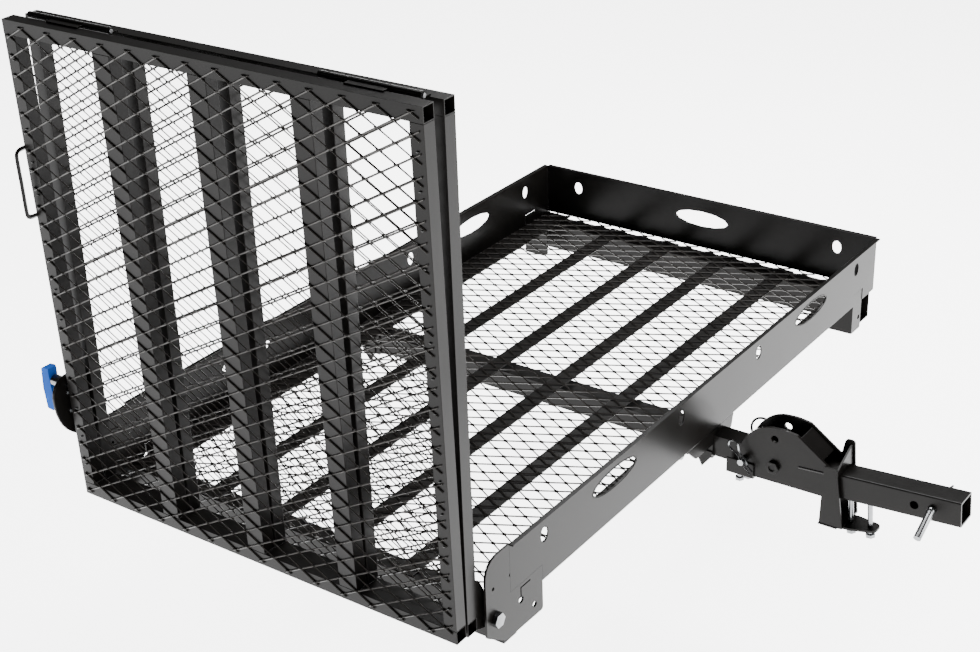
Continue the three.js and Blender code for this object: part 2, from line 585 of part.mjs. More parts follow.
function yoke() {
  const near = rounded([
    [YOKE_FOOT[0], YOKE_BOTTOM], [YOKE_FOOT[1], YOKE_BOTTOM],
    [YOKE_NECK[1], YOKE_TOP, 4], [YOKE_NECK[0], YOKE_TOP, 4],
  ]);
  const far = rounded([
    [YOKE_FOOT[0], YOKE_BOTTOM], [YOKE_FOOT[1], YOKE_BOTTOM], [YOKE_NECK[1] + 6, YOKE_TOP - 10],
    [YOKE_NECK[1] + 6, TAB_TOP, 8], [YOKE_NECK[1] - 13, TAB_TOP, 8], [YOKE_NECK[0], YOKE_TOP - 18],
  ]);
  const floor = block(...YOKE_FOOT, -YOKE_OUTER, YOKE_OUTER, YOKE_BOTTOM, YOKE_BOTTOM + CLAMP_SHEET);
  const onShank = SHANK_HALF + FIT;
  const bridge = outline([
    [-YOKE_OUTER, onShank], [YOKE_OUTER, onShank], [YOKE_OUTER, TAB_TOP - 6], [-YOKE_OUTER, YOKE_TOP - 5],
  ]);
  const walls = join(
    extrude('x', bridge, YOKE_NECK[1] - 2, YOKE_NECK[1] + 2),
    extrude('y', near, -YOKE_OUTER, -YOKE_INNER),
    extrude('y', far, YOKE_INNER, YOKE_OUTER),
    floor,
  );
  const boltHole = rod('z', CLAMP_BOLT_X[0], 0, CLAMP_BOLT_DIA + 2 * RUN, YOKE_BOTTOM - 5, YOKE_BOTTOM + 10);
  return cut(walls, boltHole);
}
add('anti_rattle_yoke', yoke(), black, shankGroup);

function nosePlate() {
  const half = SHANK_HALF + 0.6;
  const shape = rounded([
    [YOKE_FOOT[0], -half, 4], [YOKE_FOOT[1] + 8, -half, 8], [CLAMP_BOLT_X[1] + 16, -14, 12],
    [CLAMP_BOLT_X[1] + 16, 14, 12], [YOKE_FOOT[1] + 8, half, 8], [YOKE_FOOT[0], half, 4],
  ]);
  const top = YOKE_BOTTOM - FIT;
  const holes = CLAMP_BOLT_X.map((x) => rod('z', x, 0, CLAMP_BOLT_DIA + 2 * FIT, top - 20, top + 5));
  return cut(extrude('z', shape, top - NOSE_THICK, top), ...holes);
}
add('clamp_plate', nosePlate(), black, shankGroup);

CLAMP_BOLT_X.forEach((x, i) => {
  const under = YOKE_BOTTOM - NOSE_THICK - 2 * FIT;
  const head = under - 11;
  const bolt = boltBody('z', x, 0, CLAMP_BOLT_DIA, head, head - 6.5, -SHANK_HALF - FIT);
  const nut = extrude('z', hexagon(x, 0, CLAMP_BOLT_DIA * 1.6), under - 6, under);
  add(`clamp_bolt_${i + 1}`, join(bolt, nut), zinc, shankGroup);
});

// ---- lock pin of the tilt joint -------------------------------------------------------------------------

const LOCK_NEAR = -U_OUTER - 18;
const LOCK_FAR = U_OUTER + 12;
const LOCK_CLIP_Y = -U_OUTER - 12;
const LOCK_CLIP_TURN = THREE.MathUtils.degToRad(-38);
const LOCK_RING_Y = U_OUTER + 6;
const RING_RADIUS = 26;
const RING_WIRE = 5;
const LOCK_COLLAR = [CHEEK_OUTER + RUN, CHEEK_OUTER + RUN + 3];

function lockPin() {
  const collar = rod('y', ...beamPin, LOCK_DIA + 3, ...LOCK_COLLAR);
  const body = join(rod('y', ...beamPin, LOCK_DIA, LOCK_NEAR, LOCK_FAR), collar);
  const clipHole = rod('z', 0, 0, CLIP_WIRE + 2 * FIT, -20, 20);
  clipHole.rotateY(LOCK_CLIP_TURN).translate(beamPin[0], LOCK_CLIP_Y, beamPin[1]);
  const ringBore = RING_WIRE + 2 * RUN + 0.6;
  const ringHole = rod('x', LOCK_RING_Y, beamPin[1], ringBore, beamPin[0] - 20, beamPin[0] + 20);
  return cut(body, clipHole, ringHole);
}
add('lock_pin', lockPin(), zinc);

const lockClip = springClip(LOCK_DIA / 2, CLIP_WIRE, 74);
lockClip.rotateY(LOCK_CLIP_TURN).translate(beamPin[0], LOCK_CLIP_Y, beamPin[1]);
add('lock_pin_clip', lockClip, zinc);

const ring = new THREE.TorusGeometry(RING_RADIUS, RING_WIRE / 2, 8, 36).rotateX(Math.PI / 2);
ring.translate(beamPin[0], LOCK_RING_Y, beamPin[1] + RING_RADIUS);
add('lock_pin_ring', ring, black);

// ---- ramp -----------------------------------------------------------------------------------------------

const lean = THREE.MathUtils.degToRad(RAMP_LEAN);
const INNER_FOOT = FOLD_Z - 5;
const OUTER_FOOT = INNER_FOOT + 4.5;
const OUTER_BACK = RAMP_BACK - RAMP_TUBE - RAMP_GAP;
const hingeZ = INNER_FOOT + RAMP_HEIGHT + HINGE_RISE;
const hingeY = (RAMP_BACK - RAMP_TUBE + OUTER_BACK - RAMP_HEIGHT * Math.sin(lean)) / 2;

const panels = {
  inner: { at: [TRAY_X, RAMP_BACK, INNER_FOOT], turn: 0, meshFace: FIT },
  outer: { at: [TRAY_X, OUTER_BACK, OUTER_FOOT], turn: lean, meshFace: -RAMP_TUBE - FIT - MESH_THICK },
};

// the hinge axis in a panel's own upright coordinates
function hingeIn({ at, turn }) {
  const axis = new THREE.Vector3(0, hingeY - at[1], hingeZ - at[2]);
  return axis.applyAxisAngle(new THREE.Vector3(1, 0, 0), -turn);
}

// three knuckles on each hinge: the outer two belong to the inner panel, the middle one to the outer panel
const KNUCKLE_GAP = 0.5;
const KNUCKLE_SPLIT = HINGE_KNUCKLE / 2;
const HINGE_LEAF = 5; // how far a knuckle's web reaches over its tube

function knuckle(panel, x0, x1) {
  const { y, z } = hingeIn(panel);
  const top = RAMP_HEIGHT;
  const inwards = panel === panels.inner ? [-RAMP_TUBE, -RAMP_TUBE + HINGE_LEAF] : [-HINGE_LEAF, 0];
  const leaf = block(x0, x1, Math.min(y, inwards[0]), Math.max(y, inwards[1]), top - 0.2, top + 2.6);
  return join(leaf, rod('x', y, z, KNUCKLE_DIA, x0, x1));
}

function topTube(panel, spans) {
  const { y, z } = hingeIn(panel);
  const section = [-RAMP_TUBE, 0, RAMP_HEIGHT - RAMP_TUBE, RAMP_HEIGHT];
  const bar = boxTube('x', ...section, RAMP_WALL, -HALF_RAMP, HALF_RAMP);
  const body = join(bar, ...spans.map(([x0, x1]) => knuckle(panel, x0, x1)));
  return cut(body, rod('x', y, z, KNUCKLE_PIN + 2 * RUN, -HALF_RAMP, HALF_RAMP));
}

// ear that reaches back to the pivot bolt, welded inside the inner panel's side tube
const EAR_SHEET = 5;
const EAR_ROUND = 16;
function ear(side) {
  const y = FOLD_Y - RAMP_BACK;
  const z = FOLD_Z - INNER_FOOT;
  const shape = new THREE.Shape();
  shape.moveTo(-2, z - EAR_ROUND + 12);
  shape.lineTo(y - 6, z - EAR_ROUND);
  shape.absarc(y, z, EAR_ROUND, -Math.PI / 2, Math.PI / 4, false);
  shape.lineTo(10, 90);
  shape.lineTo(-2, 96);
  shape.closePath();
  const x = side > 0 ? [HALF_RAMP - EAR_SHEET, HALF_RAMP] : [-HALF_RAMP, -HALF_RAMP + EAR_SHEET];
  const clearOfFoot = block(x[0] - 5, x[1] + 5, -10, FIT, -50, RAMP_TUBE + FIT);
  const boltHole = extrude('x', circle(y, z, FOLD_BOLT_DIA + 2 * RUN), x[0] - 5, x[1] + 5);
  return cut(extrude('x', shape, ...x), boltHole, clearOfFoot);
}

function sideTube(side, eared) {
  const x = side > 0 ? [HALF_RAMP - RAMP_TUBE, HALF_RAMP] : [-HALF_RAMP, -HALF_RAMP + RAMP_TUBE];
  const ends = [RAMP_TUBE + FIT, RAMP_HEIGHT - RAMP_TUBE - FIT];
  const tube = boxTube('z', ...x, -RAMP_TUBE, 0, RAMP_WALL, ...ends);
  return eared ? join(tube, ear(side)) : tube;
}

function panel(name, settings, knuckleSpans) {
  const group = new THREE.Group();
  group.position.set(...settings.at);
  group.rotation.x = settings.turn;
  carrier.add(group);
  const eared = name === 'inner';
  const bars = [RAMP_TUBE + FIT, RAMP_HEIGHT - RAMP_TUBE - FIT];
  const foot = boxTube('x', -RAMP_TUBE, 0, 0, RAMP_TUBE, RAMP_WALL, -HALF_RAMP, HALF_RAMP);
  add(`${name}_ramp_foot`, foot, black, group);
  add(`${name}_ramp_head`, topTube(settings, knuckleSpans), black, group);
  for (const [where, side] of SIDES) add(`${name}_ramp_side_${where}`, sideTube(side, eared), black, group);
  [-RAMP_BAR_STEP, 0, RAMP_BAR_STEP].forEach((x, i) => {
    const bar = boxTube('z', x - RAMP_BAR / 2, x + RAMP_BAR / 2, -RAMP_TUBE, 0, RAMP_WALL, ...bars);
    add(`${name}_ramp_bar_${i + 1}`, bar, black, group);
  });
  const edge = HALF_RAMP - RAMP_MESH_MARGIN;
  const face = [settings.meshFace, settings.meshFace + MESH_THICK];
  const mesh = block(-edge, edge, ...face, RAMP_MESH_MARGIN, RAMP_HEIGHT - RAMP_MESH_MARGIN);
  add(`${name}_ramp_mesh`, mesh, mesh_black, group);
  return group;
}

const outerSpans = HINGES.flatMap((x) => [
  [x - HINGE_HALF, x - KNUCKLE_SPLIT - KNUCKLE_GAP / 2],
  [x + KNUCKLE_SPLIT + KNUCKLE_GAP / 2, x + HINGE_HALF],
]);
const middleHalf = KNUCKLE_SPLIT - KNUCKLE_GAP / 2;
const middleSpans = HINGES.map((x) => [x - middleHalf, x + middleHalf]);
panel('inner', panels.inner, outerSpans);
const outerPanel = panel('outer', panels.outer, middleSpans);
HINGES.forEach((x, i) => {
  const span = [TRAY_X + x - HINGE_HALF - 2, TRAY_X + x + HINGE_HALF + 2];
  add(`ramp_hinge_pin_${i + 1}`, rod('x', hingeY, hingeZ, KNUCKLE_PIN, ...span), steel);
});

const HANDLE_DIA = 8.5;
const HANDLE_SPAN = [0.617 * RAMP_HEIGHT, 0.753 * RAMP_HEIGHT];
const HANDLE_REACH = -RAMP_TUBE - 15.6;
function grabHandle() {
  const x = -HALF_RAMP - HANDLE_DIA / 2 - FIT;
  const [low, high] = HANDLE_SPAN;
  const bow = 7;
  return wire([
    [x, -5, low - 2], [x, -20, low], [x, HANDLE_REACH + bow, low + 1], [x, HANDLE_REACH, low + bow + 2],
    [x, HANDLE_REACH, (low + high) / 2], [x, HANDLE_REACH, high - bow - 2], [x, HANDLE_REACH + bow, high - 1],
    [x, -20, high], [x, -5, high + 2],
  ], HANDLE_DIA, 48, 0.35);
}
add('grab_handle', grabHandle(), black, outerPanel);

for (const [where, side] of SIDES) {
  const headInner = TRAY_X + side * (HALF_WIDTH + FIT);
  const headOuter = headInner + side * FOLD_BOLT_DIA * HEAD_HEIGHT;
  const tip = TRAY_X + side * (HALF_RAMP - EAR_SHEET - 14);
  const bolt = boltBody('x', FOLD_Y, FOLD_Z, FOLD_BOLT_DIA, headInner, headOuter, tip);
  add(`ramp_pivot_bolt_${where}`, bolt, zinc);
}

// ---- ramp latch -------------------------------------------------------------------------------------------

const LATCH_Y = OUTER_BACK - RAMP_TUBE / 2 - 5.3; // middle of the leaning panel at that height
const LATCH_Z = RAIL_TOP + 99.2;
const LATCH_SHEET = 5;
const PLUNGER_DIA = 10;
const STEM_DIA = 8;
const HOUSING_DIA = 22;
const HOUSING_LENGTH = 30;
const SPRING_WIRE = 1.6;
const armFace = TRAY_X - HALF_WIDTH - FIT;
const armOuter = armFace - LATCH_SHEET;

// plate bolted outside the end plate, rising to a round head beside the ramp
function latchArm() {
  const foot = [-HALF_LENGTH - 61, -HALF_LENGTH - 15];
  const shape = new THREE.Shape();
  shape.moveTo(foot[1], RAIL_TOP - 96);
  shape.lineTo(foot[1], RAIL_TOP - 46);
  shape.quadraticCurveTo(LATCH_Y + 58, RAIL_TOP - 6, LATCH_Y + 34, LATCH_Z - 50);
  shape.absarc(LATCH_Y, LATCH_Z - 16, 37, -0.4, Math.PI * 0.98, false);
  shape.quadraticCurveTo(LATCH_Y - 38, LATCH_Z - 70, LATCH_Y - 8, RAIL_TOP + 4);
  shape.quadraticCurveTo(LATCH_Y + 46, RAIL_TOP - 38, foot[0], RAIL_TOP - 72);
  shape.lineTo(foot[0], RAIL_TOP - 96);
  shape.closePath();
  const bore = rod('x', LATCH_Y, LATCH_Z, PLUNGER_DIA + 2 * RUN, armOuter - 5, armFace + 5);
  return cut(extrude('x', shape, armOuter, armFace), bore);
}
add('latch_arm', latchArm(), black);

const housingEnd = armOuter - FIT - HOUSING_LENGTH;
function latchHousing() {
  const body = rod('x', LATCH_Y, LATCH_Z, HOUSING_DIA, housingEnd, armOuter - FIT);
  const bore = rod('x', LATCH_Y, LATCH_Z, PLUNGER_DIA + 6, housingEnd + 4, armOuter + 5);
  const stemBore = rod('x', LATCH_Y, LATCH_Z, STEM_DIA + 2 * RUN, housingEnd - 5, housingEnd + 10);
  return cut(body, bore, stemBore);
}
add('latch_housing', latchHousing(), zinc);

const tipFace = TRAY_X - HALF_RAMP - FIT;
function latchPlunger() {
  const nose = rod('x', LATCH_Y, LATCH_Z, PLUNGER_DIA, armOuter - 8, tipFace);
  const collar = rod('x', LATCH_Y, LATCH_Z, PLUNGER_DIA + 4.6, armOuter - 8, armOuter - 5);
  const stem = rod('x', LATCH_Y, LATCH_Z, STEM_DIA, housingEnd - 9, armOuter - 6);
  return join(nose, collar, stem);
}
add('latch_plunger', latchPlunger(), zinc);

const SPRING_SPAN = [housingEnd + 4 + FIT + SPRING_WIRE / 2, armOuter - 8 - FIT - SPRING_WIRE / 2];
function latchSpring() {
  const turns = 4;
  const radius = (PLUNGER_DIA + 1.9) / 2;
  const points = [];
  for (let i = 0; i <= turns * 10; i += 1) {
    const turn = (i / 10) * 2 * Math.PI;
    const x = THREE.MathUtils.lerp(...SPRING_SPAN, i / (turns * 10));
    points.push([x, LATCH_Y + radius * Math.cos(turn), LATCH_Z + radius * Math.sin(turn)]);
  }
  return wire(points, SPRING_WIRE, turns * 12);
}
add('latch_spring', latchSpring(), steel);

// moulded T-handle on the plunger's outer end
const T_HEIGHT = 88;
const T_WIDTH = 20;
const T_BOTTOM = LATCH_Z - 62;
function latchHandle() {
  const near = housingEnd - RUN;
  const bar = rounded([
    [near - 20, T_BOTTOM + 2, 4], [near - 3, T_BOTTOM, 4],
    [near - 1, T_BOTTOM + T_HEIGHT / 2, 8], [near - 3, T_BOTTOM + T_HEIGHT, 4],
    [near - 21, T_BOTTOM + T_HEIGHT - 2, 5], [near - 24, T_BOTTOM + T_HEIGHT / 2, 8],
  ]);
  const body = extrude('y', bar, LATCH_Y - T_WIDTH / 2, LATCH_Y + T_WIDTH / 2);
  return cut(body, rod('x', LATCH_Y, LATCH_Z, STEM_DIA + 2 * FIT, near - 9, near + 5));
}
add('latch_handle', latchHandle(), blue);

export default carrier;
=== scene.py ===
# Hitch cargo carrier: the looks of the black steel tray, its folding ramp, and the tilting hitch that carries them.
# Metres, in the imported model's frame: +X to the towing vehicle, +Z up, the outer hole of the shank at the origin.

import math
import bpy
from mathutils import Matrix, Vector


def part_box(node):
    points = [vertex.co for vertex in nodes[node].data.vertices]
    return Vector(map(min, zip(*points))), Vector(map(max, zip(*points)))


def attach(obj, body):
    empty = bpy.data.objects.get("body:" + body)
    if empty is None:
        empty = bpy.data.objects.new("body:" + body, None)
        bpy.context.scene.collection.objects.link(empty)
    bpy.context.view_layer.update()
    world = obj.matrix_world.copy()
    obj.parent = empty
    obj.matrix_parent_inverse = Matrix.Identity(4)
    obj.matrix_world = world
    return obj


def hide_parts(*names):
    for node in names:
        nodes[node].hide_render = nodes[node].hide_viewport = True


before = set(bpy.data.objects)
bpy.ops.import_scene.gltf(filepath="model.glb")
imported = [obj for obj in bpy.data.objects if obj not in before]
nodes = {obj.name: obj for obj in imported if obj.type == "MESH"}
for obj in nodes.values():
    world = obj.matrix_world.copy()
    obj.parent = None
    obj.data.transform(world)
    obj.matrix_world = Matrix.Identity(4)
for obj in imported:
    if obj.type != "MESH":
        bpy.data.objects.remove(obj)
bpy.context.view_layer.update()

# ---- Rails, end wall and end plates ---------------------------------------------------------------------
# Folded sheet steel, satin black powder coat baked on. The coat has a fine orange peel, wears a little
# greyer in patches, and rounds every cut edge, so each edge catches a thin line of light.


def finish_nodes(shader_name, colours, rough, peel, metallic=0.0, gloss=0.5):
    """A sprayed or plated finish: two tones in slow patches, roughness that varies, and a fine skin."""
    made = bpy.data.materials.new(shader_name)
    made.use_nodes = True
    tree = made.node_tree
    shader = tree.nodes["Principled BSDF"]
    shader.inputs["Metallic"].default_value = metallic
    shader.inputs["Specular IOR Level"].default_value = gloss
    place = tree.nodes.new("ShaderNodeTexCoord")
    patches = tree.nodes.new("ShaderNodeTexNoise")
    patches.inputs["Scale"].default_value = 9
    patches.inputs["Detail"].default_value = 6
    patches.inputs["Roughness"].default_value = 0.65
    tones = tree.nodes.new("ShaderNodeValToRGB")
    tones.color_ramp.elements[0].position = 0.36
    tones.color_ramp.elements[0].color = (*colours[0], 1)
    tones.color_ramp.elements[1].position = 0.66
    tones.color_ramp.elements[1].color = (*colours[1], 1)
    dulling = tree.nodes.new("ShaderNodeMapRange")
    dulling.inputs["To Min"].default_value = rough[0]
    dulling.inputs["To Max"].default_value = rough[1]
    skin = tree.nodes.new("ShaderNodeTexNoise")
    skin.inputs["Scale"].default_value = peel[0]
    skin.inputs["Detail"].default_value = 3
    relief = tree.nodes.new("ShaderNodeBump")
    relief.inputs["Strength"].default_value = peel[1]
    relief.inputs["Distance"].default_value = 0.0004
    tree.links.new(place.outputs["Object"], patches.inputs["Vector"])
    tree.links.new(place.outputs["Object"], skin.inputs["Vector"])
    tree.links.new(patches.outputs["Fac"], tones.inputs["Fac"])
    tree.links.new(tones.outputs["Color"], shader.inputs["Base Color"])
    tree.links.new(patches.outputs["Fac"], dulling.inputs["Value"])
    tree.links.new(dulling.outputs["Result"], shader.inputs["Roughness"])
    tree.links.new(skin.outputs["Fac"], relief.inputs["Height"])
    tree.links.new(relief.outputs["Normal"], shader.inputs["Normal"])
    return made


def dress(name, material, edge):
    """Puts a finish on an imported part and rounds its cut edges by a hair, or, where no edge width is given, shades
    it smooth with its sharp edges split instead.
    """
    part = nodes[name]
    part.data.materials.clear()
    part.data.materials.append(material)
    weld = part.modifiers.new("weld", "WELD")
    weld.merge_threshold = 0.00002
    if edge:
        rounding = part.modifiers.new("rounding", "BEVEL")
        rounding.width = edge
        rounding.segments = 2
        rounding.limit_method = "ANGLE"
        rounding.angle_limit = math.radians(50)
    else:
        for face in part.data.polygons:
            face.use_smooth = True
        split = part.modifiers.new("split", "EDGE_SPLIT")
        split.split_angle = math.radians(35)


powder_coat = finish_nodes("powder_coat", [(0.0026, 0.0023, 0.0020), (0.0048, 0.0042, 0.0038)], (0.24, 0.36), (700, 0.10), gloss=0.1)
SIDES = ("vehicle_side", "free_side")
for side in SIDES:
    dress(f"rail_{side}", powder_coat, 0.0007)
    dress(f"end_plate_{side}", powder_coat, 0.0007)
    dress(f"rear_foot_{side}", powder_coat, 0.0007)
dress("end_wall", powder_coat, 0.0007)

# ---- Deck: cross tubes and lengthways bars ----------------------------------------------------------------
for name in ("rear_cross_tube", "front_cross_tube", "deck_bar_1", "deck_bar_2", "deck_bar_3", "deck_bar_4"):
    dress(name, powder_coat, 0.0007)

# ---- Expanded metal -----------------------------------------------------------------------------------------
# Steel sheet slit and pulled open into diamonds, black coated. Each strand leans over, so one set of
# diagonals shows its broad face and the other its edge. The sheets are tacked to the tubes.

LONG_WAY = 0.0609
SHORT_WAY = 0.0336
STRAND = 0.0026
GAUGE = 0.0018
STRAND_LEAN = math.radians(42)
BOND = 0.0078

expanded_coat = finish_nodes("expanded_coat", [(0.011, 0.0098, 0.0088), (0.024, 0.0215, 0.0195)], (0.3, 0.44), (900, 0.1), gloss=0.4)


def strand_bar(length, width, centre, turn):
    """One leaning strand, or one bond between strands, as a squared bar."""
    bpy.ops.mesh.primitive_cube_add(size=1)
    bar = bpy.context.object
    bar.data.transform(Matrix.Diagonal((length, width, GAUGE, 1)))
    bar.data.transform(Matrix.Rotation(STRAND_LEAN, 4, "X"))
    bar.data.transform(Matrix.Rotation(turn, 4, "Z"))
    bar.data.transform(Matrix.Translation(centre))
    return bar


def diamond_sheet(name, across, along):
    """A flat sheet of diamonds, the long way across X, with bonds on both borders."""
    bpy.ops.object.select_all(action="DESELECT")
    rise = STRAND * math.sin(STRAND_LEAN) / 2
    step = STRAND * math.cos(STRAND_LEAN) / 2
    run = Vector((LONG_WAY / 2 - BOND * 0.5, SHORT_WAY / 2 - 2 * step, 0))
    turn = math.atan2(run.y, run.x)
    bars = []
    for x, y in ((0, 0), (LONG_WAY / 2, SHORT_WAY / 2)):
        bars.append(strand_bar(BOND, 2 * STRAND, (x, y, 0), 0))
        for way in (1, -1):
            centre = (x + way * LONG_WAY / 4, y + SHORT_WAY / 4, 0)
            bars.append(strand_bar(run.length, STRAND, centre, way * turn))
    for bar in bars:
        bar.select_set(True)
    bpy.context.view_layer.objects.active = bars[0]
    bpy.ops.object.join()
    sheet = bpy.context.object
    sheet.name = name
    columns = math.ceil(across / LONG_WAY) + 2
    rows = math.ceil(along / SHORT_WAY) + 2
    for count, offset in ((columns, (LONG_WAY, 0, 0)), (rows, (0, SHORT_WAY, 0))):
        repeat = sheet.modifiers.new("repeat", "ARRAY")
        repeat.count = count
        repeat.use_relative_offset = False
        repeat.use_constant_offset = True
        repeat.constant_offset_displace = offset
        bpy.ops.object.modifier_apply(modifier="repeat")
    return sheet


def trim(sheet, low, high):
    """Shears the sheet off square at its borders and closes the cut strands."""
    bpy.context.view_layer.objects.active = sheet
    for axis, value, sign in ((0, low[0], -1), (0, high[0], 1), (1, low[1], -1), (1, high[1], 1)):
        where, normal = [0, 0, 0], [0, 0, 0]
        where[axis], normal[axis] = value, sign
        bpy.ops.object.mode_set(mode="EDIT")
        bpy.ops.mesh.select_all(action="SELECT")
        bpy.ops.mesh.bisect(plane_co=where, plane_no=normal, clear_outer=True, use_fill=True)
        bpy.ops.object.mode_set(mode="OBJECT")


def lay(sheet, material, place, node, body):
    """Puts a sheet in place of its plain plate, on the body that carries it."""
    sheet.data.materials.clear()
    sheet.data.materials.append(material)
    sheet.data.transform(place)
    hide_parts(node)
    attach(sheet, body)


low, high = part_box("deck_mesh")
deck_size = high - low
deck = diamond_sheet("deck_expanded_metal", deck_size.x, deck_size.y)
deck.data.transform(Matrix.Translation((-LONG_WAY * 0.79, -SHORT_WAY * 0.5, 0)))
trim(deck, (0, 0), (deck_size.x, deck_size.y))
lay(deck, expanded_coat, Matrix.Translation((low.x, low.y, high.z)), "deck_mesh", "tray")

upright = Matrix.Rotation(math.radians(90), 4, "X")
for panel in ("inner", "outer"):
    low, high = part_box(f"{panel}_ramp_mesh")
    size = high - low
    lean = math.asin((size.y - 0.002) / size.z) if panel == "outer" else 0
    sheet = diamond_sheet(f"{panel}_ramp_expanded_metal", size.x, size.z)
    top_row = (size.z - STRAND) % SHORT_WAY - SHORT_WAY
    sheet.data.transform(Matrix.Translation((-LONG_WAY * 0.41, top_row, 0)))
    trim(sheet, (0, 0), (size.x, size.z))
    face = low.y + 0.002 if panel == "inner" else high.y - 0.001
    place = Matrix.Translation((low.x, face, low.z)) @ Matrix.Rotation(lean, 4, "X") @ upright
    lay(sheet, expanded_coat, place, f"{panel}_ramp_mesh", f"{panel}_ramp")

# ---- Ramp panels --------------------------------------------------------------------------------------------
for panel in ("inner", "outer"):
    for piece in ("foot", "head", "side_vehicle_side", "side_free_side", "bar_1", "bar_2", "bar_3"):
        dress(f"{panel}_ramp_{piece}", powder_coat, 0.0008)
dress("grab_handle", powder_coat, 0)

# ---- Hitch ---------------------------------------------------------------------------------------------------
for name in ("hitch_beam", "saddle_vehicle_side", "saddle_free_side", "latch_arm", "tilt_cheek_ramp_side",
             "tilt_cheek_wall_side", "cheek_stiffener", "pivot_bolt", "u_clamp", "anti_rattle_yoke", "clamp_plate"):
    dress(name, powder_coat, 0.0009)
dress("shank", powder_coat, 0.0007)
dress("lock_pin_ring", powder_coat, 0)

# ---- Weld beads ------------------------------------------------------------------------------------------------
# Fillets of weld metal laid by hand where two steel pieces meet, rippled where the arc paused, and sprayed
# with the same black coat as the steel on either side.

RIPPLE = 0.0032
weld_coat = finish_nodes("weld_coat", [(0.004, 0.0036, 0.0033), (0.008, 0.007, 0.0065)], (0.2, 0.34), (260, 0.3), gloss=0.25)


def bead_run(start, end, across):
    """A straight run of overlapping ripples from one point to another."""
    start, end = Vector(start), Vector(end)
    along = end - start
    count = max(2, round(along.length / RIPPLE))
    bpy.ops.mesh.primitive_uv_sphere_add(segments=8, ring_count=4, radius=across)
    ripple = bpy.context.object
    ripple.data.transform(Matrix.Diagonal((1, 1, 0.9, 1)))
    ripple.data.transform(along.to_track_quat("Z", "Y").to_matrix().to_4x4())
    ripple.data.transform(Matrix.Translation(start))
    repeat = ripple.modifiers.new("repeat", "ARRAY")
    repeat.count = count
    repeat.use_relative_offset = False
    repeat.use_constant_offset = True
    repeat.constant_offset_displace = along / (count - 1)
    bpy.ops.object.modifier_apply(modifier="repeat")
    bpy.ops.object.shade_smooth()
    return ripple


def weld(name, runs, body, across=0.0022, material=weld_coat):
    """All the runs of one joint as a single piece, on the body that carries the joint."""
    bpy.ops.object.select_all(action="DESELECT")
    beads = [bead_run(start, end, across) for start, end in runs]
    for bead in beads:
        bead.select_set(True)
    bpy.context.view_layer.objects.active = beads[0]
    bpy.ops.object.join()
    joined = bpy.context.object
    joined.name = name
    joined.data.materials.clear()
    joined.data.materials.append(material)
    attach(joined, body)


for panel in ("inner", "outer"):
    head_low, head_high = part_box(f"{panel}_ramp_head")
    foot_low, foot_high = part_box(f"{panel}_ramp_foot")
    runs = []
    for bar in ("bar_1", "bar_2", "bar_3"):
        low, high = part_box(f"{panel}_ramp_{bar}")
        depth = high.y - low.y if panel == "inner" else 0.0254
        for x in (low.x, high.x):
            runs.append(((x, low.y + 0.003, high.z), (x, low.y + depth - 0.003, high.z)))
            runs.append(((x, high.y - depth + 0.003, low.z), (x, high.y - 0.003, low.z)))
    for side in SIDES:
        low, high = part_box(f"{panel}_ramp_side_{side}")
        x = high.x if side == "free_side" else low.x
        y = low.y if panel == "outer" else foot_low.y
        runs.append(((x, y + 0.003, high.z), (x, y + 0.0224, high.z)))
        runs.append(((x, foot_low.y + 0.003, foot_high.z), (x, foot_high.y - 0.003, foot_high.z)))
    weld(f"{panel}_ramp_welds", runs, f"{panel}_ramp")

# The plates of the hitch: the ramp-side cheek along the shank, and the yoke's foot.
low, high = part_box("tilt_cheek_ramp_side")
shank_low, shank_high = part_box("shank")
slope = (shank_high.z - shank_low.z - 0.0509) / (shank_high.x - shank_low.x)
seam = []
for x in (-0.262, -0.206):
    seam.append((x, low.y + 0.0005, 0.0254 + slope * x))
weld("cheek_weld", [tuple(seam)], "hitch", 0.0030)
low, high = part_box("anti_rattle_yoke")
weld("yoke_foot_weld", [((low.x + 0.001, low.y + 0.0004, low.z + 0.0022), (low.x + 0.036, low.y + 0.0004, low.z + 0.0022))],
     "hitch", 0.0026)

# The end plates, along the seam where each meets its rail.
for side in SIDES:
    low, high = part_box(f"end_plate_{side}")
    x = low.x + 0.0015 if side == "vehicle_side" else high.x - 0.0015
    weld(f"end_plate_weld_{side}", [((x, -0.7221, 0.06), (x, -0.7221, 0.15))], "tray", 0.0014)

# ---- Tack welds on the expanded metal ------------------------------------------------------------------------
# Small spots of weld that hold each sheet's cut strands to the tube under them. The spray covers them
# thinly, so their crowns shine a little more than the sheet.

tack_coat = finish_nodes("tack_coat", [(0.02, 0.02, 0.02), (0.05, 0.05, 0.05)], (0.18, 0.3), (300, 0.3), 0.6)
for panel in ("inner", "outer"):
    low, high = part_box(f"{panel}_ramp_mesh")
    lean = (high.y - low.y) - 0.002
    face = low.y + 0.0012 if panel == "inner" else high.y - 0.0012
    spots = []
    for step in range(1, 15):
        z = low.z + step * (high.z - low.z) / 15
        shift = 0 if panel == "inner" else lean * (z - low.z) / (high.z - low.z)
        for x in (low.x + 0.006, high.x - 0.006):
            spots.append(((x, face - shift, z), (x + 0.002, face - shift, z)))
    weld(f"{panel}_ramp_tacks", spots, f"{panel}_ramp", 0.0016, tack_coat)

